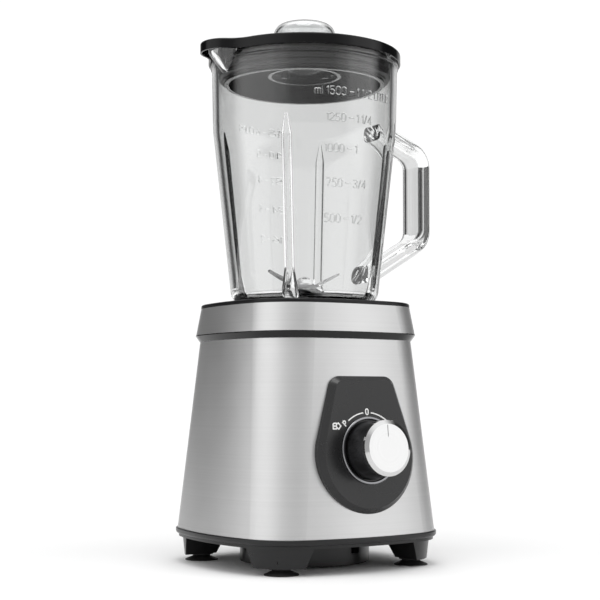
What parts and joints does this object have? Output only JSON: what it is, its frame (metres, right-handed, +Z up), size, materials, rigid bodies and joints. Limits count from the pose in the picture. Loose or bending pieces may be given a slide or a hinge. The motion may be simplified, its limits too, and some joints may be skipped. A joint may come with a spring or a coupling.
{
  "type": "countertop blender",
  "caption": "Countertop blender with a tapered brushed-steel motor base, front speed knob, ribbed glass jug with side handle, blades, lid and clear measuring cap.",
  "frame": {"origin": "on the drive axis, at the level that the feet stand on", "axes": "+Z up the drive axis; the control panel faces -Y, the jug's handle points to +X and its spout to -X"},
  "size_m": [0.1954, 0.1888, 0.395],
  "materials": {
    "brushed_steel": "brushed level round the body",
    "gloss_black": "polished black",
    "deck_black": "satin black",
    "base_black": "fine matt black",
    "foot_rubber": "matt black",
    "panel_grey": "matt charcoal with white marks",
    "chrome": "bright, finely turned on the face",
    "grip_black": "soft black",
    "screw_steel": "zinc plated",
    "shaft_steel": "ground",
    "inner_plastic": "moulded dark grey",
    "bracket_alloy": "die cast",
    "core_steel": "stacked laminations, oiled",
    "copper": "enamelled copper",
    "bush_bronze": "sintered bronze",
    "holder_brass": "drawn brass",
    "carbon": "pressed carbon",
    "capacitor_case": "moulded case, satin",
    "seal_rubber": "soft dark grey",
    "drive_rubber": "hard black rubber",
    "driven_plastic": "filled nylon",
    "jug_glass": "clear pressed glass with raised marks",
    "carrier_black": "satin black",
    "blade_steel": "ground blade steel",
    "lid_black": "satin black",
    "clear_plastic": "clear, lightly frosted"
  },
  "bodies": {
    "base": {"bottom_plate": "base_black", "base_screws": "screw_steel", "steel_body": "brushed_steel", "steel_collar": "brushed_steel", "seam_trim": "gloss_black", "top_deck": "deck_black", "splash_seal": "seal_rubber", "motor_chassis": "inner_plastic", "cord_gland": "foot_rubber", "control_panel": "panel_grey", "knob_bezel": "chrome", "switch_body": "inner_plastic", "switch_nut": "screw_steel", "stator_core": "core_steel", "field_coil_left": "copper", "field_coil_right": "copper", "lower_bracket": "bracket_alloy", "upper_bracket": "bracket_alloy", "lower_motor_bush": "bush_bronze", "upper_motor_bush": "bush_bronze", "motor_bolts": "screw_steel", "motor_mounts": "seal_rubber", "mount_screws": "screw_steel", "carbon_brush_front": "carbon", "carbon_brush_rear": "carbon", "brush_holder_front": "holder_brass", "brush_holder_rear": "holder_brass", "brush_spring_front": "shaft_steel", "brush_spring_rear": "shaft_steel", "fan_shroud": "inner_plastic", "noise_capacitor": "capacitor_case", "foot_front_left": "foot_rubber", "foot_front_right": "foot_rubber", "foot_rear_left": "foot_rubber", "foot_rear_right": "foot_rubber"},
    "rotor": {"motor_shaft": "shaft_steel", "rotor_core": "core_steel", "rotor_winding": "copper", "commutator": "copper", "cooling_fan": "inner_plastic", "drive_coupling": "drive_rubber"},
    "knob": {"knob_grip": "grip_black", "knob_cap": "chrome", "knob_spindle": "shaft_steel"},
    "jug": {"glass_jug": "jug_glass", "jug_gasket": "seal_rubber", "blade_carrier": "carrier_black", "jug_bush": "bush_bronze", "lip_seal": "seal_rubber"},
    "lock_ring": {"locking_ring": "carrier_black"},
    "blades": {"driven_coupling": "driven_plastic", "blade_shaft": "shaft_steel", "upper_blades": "blade_steel", "lower_blades": "blade_steel", "blade_washers": "screw_steel", "blade_nut": "screw_steel"},
    "lid": {"lid": "lid_black", "lid_seal": "seal_rubber"},
    "cap": {"measuring_cap": "clear_plastic"}
  },
  "joints": [
    {"name": "jug_lift", "type": "slide", "parent": "base", "child": "jug", "axis": [0, 0, 1], "range_m": [0, 0.08]},
    {"name": "lid_lift", "type": "slide", "parent": "jug", "child": "lid", "axis": [0, 0, 1], "range_m": [0, 0.08]},
    {"name": "cap_lift", "type": "slide", "parent": "lid", "child": "cap", "axis": [0, 0, 1], "range_m": [0, 0.05]},
    {"name": "motor_spin", "type": "hinge", "parent": "base", "child": "rotor", "pos_m": [0, 0, 0.1], "axis": [0, 0, 1], "continuous": true},
    {"name": "blade_spin", "type": "hinge", "parent": "jug", "child": "blades", "pos_m": [0, 0, 0.2], "axis": [0, 0, 1], "continuous": true},
    {"name": "knob_turn", "type": "hinge", "parent": "base", "child": "knob", "pos_m": [0, -0.08676, 0.08404], "axis": [0, -0.9944, 0.1058], "range_deg": [-90, 45]},
    {"name": "ring_turn", "type": "hinge", "parent": "jug", "child": "lock_ring", "pos_m": [0, 0, 0.18], "axis": [0, 0, 1], "range_deg": [0, 40]}
  ],
  "couplings": [
    {"joint": "blade_spin", "follows": "motor_spin", "ratio": 1}
  ]
}
